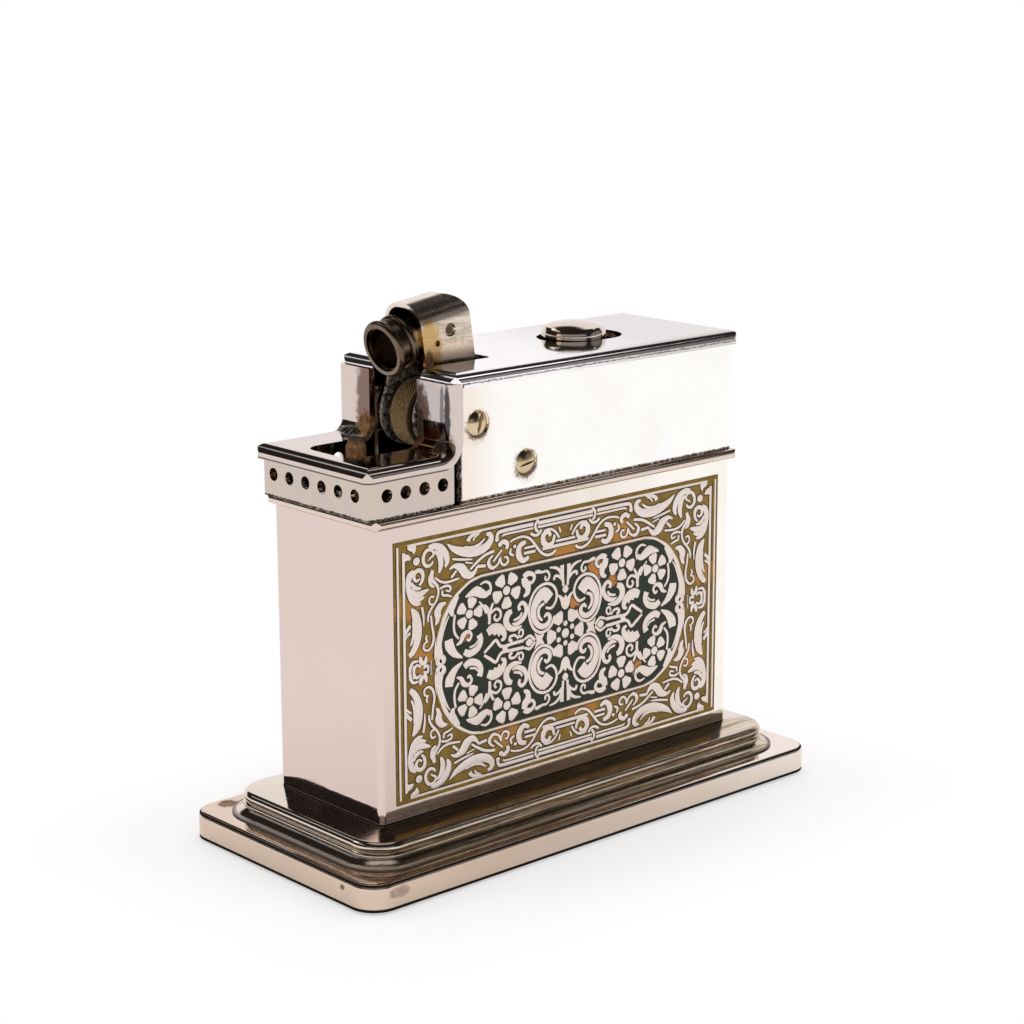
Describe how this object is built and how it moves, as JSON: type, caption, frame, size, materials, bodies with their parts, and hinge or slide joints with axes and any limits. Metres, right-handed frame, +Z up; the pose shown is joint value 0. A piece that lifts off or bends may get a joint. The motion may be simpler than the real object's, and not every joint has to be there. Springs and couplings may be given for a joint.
{
  "type": "table lighter",
  "caption": "Oblong table lighter on a moulded foot, with enamelled sides, a perforated wind guard, a sprung snuffer arm, a spark wheel and a sliding release button.",
  "frame": {"origin": "centre of the foot's underside, on the surface that the lighter stands on", "axes": "+Z up; +X along the length, from the wick towards the release button; -Y is the enamelled long side that the picture shows"},
  "size_m": [0.09, 0.043, 0.0803],
  "materials": {
    "felt": "matte felt",
    "plate": "polished nickel plate, tarnished in places",
    "plate_worn": "worn nickel plate with bronze tarnish",
    "enamel": "hard enamel with raised metal lines",
    "brass": "turned brass",
    "bronze": "darkened bronze",
    "steel": "steel",
    "cutter": "cut and hardened steel, browned",
    "cotton": "cotton",
    "flint": "cerium-iron flint",
    "seal": "black seal"
  },
  "bodies": {
    "housing": {"base_felt": "felt", "base_plinth": "plate", "base_moulding": "plate", "base_screws": "steel", "tank_shell": "plate", "tank_floor": "brass", "tank_lid": "plate", "enamel_near": "enamel", "enamel_far": "enamel", "wadding": "cotton", "wick_tube": "brass", "wick": "cotton", "filler_neck": "brass", "filler_screw": "brass", "filler_washer": "seal", "flint_tube": "brass", "flint": "flint", "flint_spring": "steel", "flint_screw": "brass", "gallery": "plate", "gallery_cover": "plate", "top_plate": "plate", "side_wall_near": "plate", "side_wall_far": "plate", "rear_wall": "plate", "chassis": "plate_worn", "axle_screw": "plate_worn", "axle_nut": "plate_worn", "frame_screws": "plate_worn", "wall_spacers": "brass", "axle_sleeves": "brass", "stop_studs": "steel", "slide_guide": "brass", "arm_spring": "steel", "button_spring": "steel"},
    "arm": {"snuffer_hood": "plate_worn", "snuffer_barrel": "bronze", "barrel_pad": "seal", "barrel_socket": "bronze", "cross_pins": "steel", "pawl_pin": "steel", "pawl_spring": "steel"},
    "pawl_lever": {"pawl": "steel"},
    "wheel": {"flint_wheel": "cutter", "ratchet_disc": "steel"},
    "button": {"button_cap": "plate", "button_carrier": "brass", "latch_bar": "steel", "button_screw": "steel"}
  },
  "joints": [
    {"name": "arm_swing", "type": "hinge", "parent": "housing", "child": "arm", "pos_m": [-0.0166, 0, 0.0632], "axis": [0, -1, 0], "range_deg": [0, 73], "stiffness_Nm_per_rad": 0.004, "springref_deg": -34.38, "deforming": ["arm_spring"]},
    {"name": "wheel_spin", "type": "hinge", "parent": "housing", "child": "wheel", "pos_m": [-0.0166, 0, 0.0632], "axis": [0, -1, 0], "range_deg": [0, 73]},
    {"name": "pawl_click", "type": "hinge", "parent": "arm", "child": "pawl_lever", "pos_m": [-0.01581, 0, 0.07015], "axis": [0, -1, 0], "range_deg": [0, 12], "stiffness_Nm_per_rad": 0.0002, "springref_deg": -8.59, "deforming": ["pawl_spring"]},
    {"name": "button_slide", "type": "slide", "parent": "housing", "child": "button", "axis": [1, 0, 0], "range_m": [0, 0.0026], "stiffness_N_per_m": 300, "springref_m": -0.002, "deforming": ["button_spring"]}
  ],
  "couplings": [
    {"joint": "wheel_spin", "follows": "arm_swing", "ratio": 1}
  ]
}
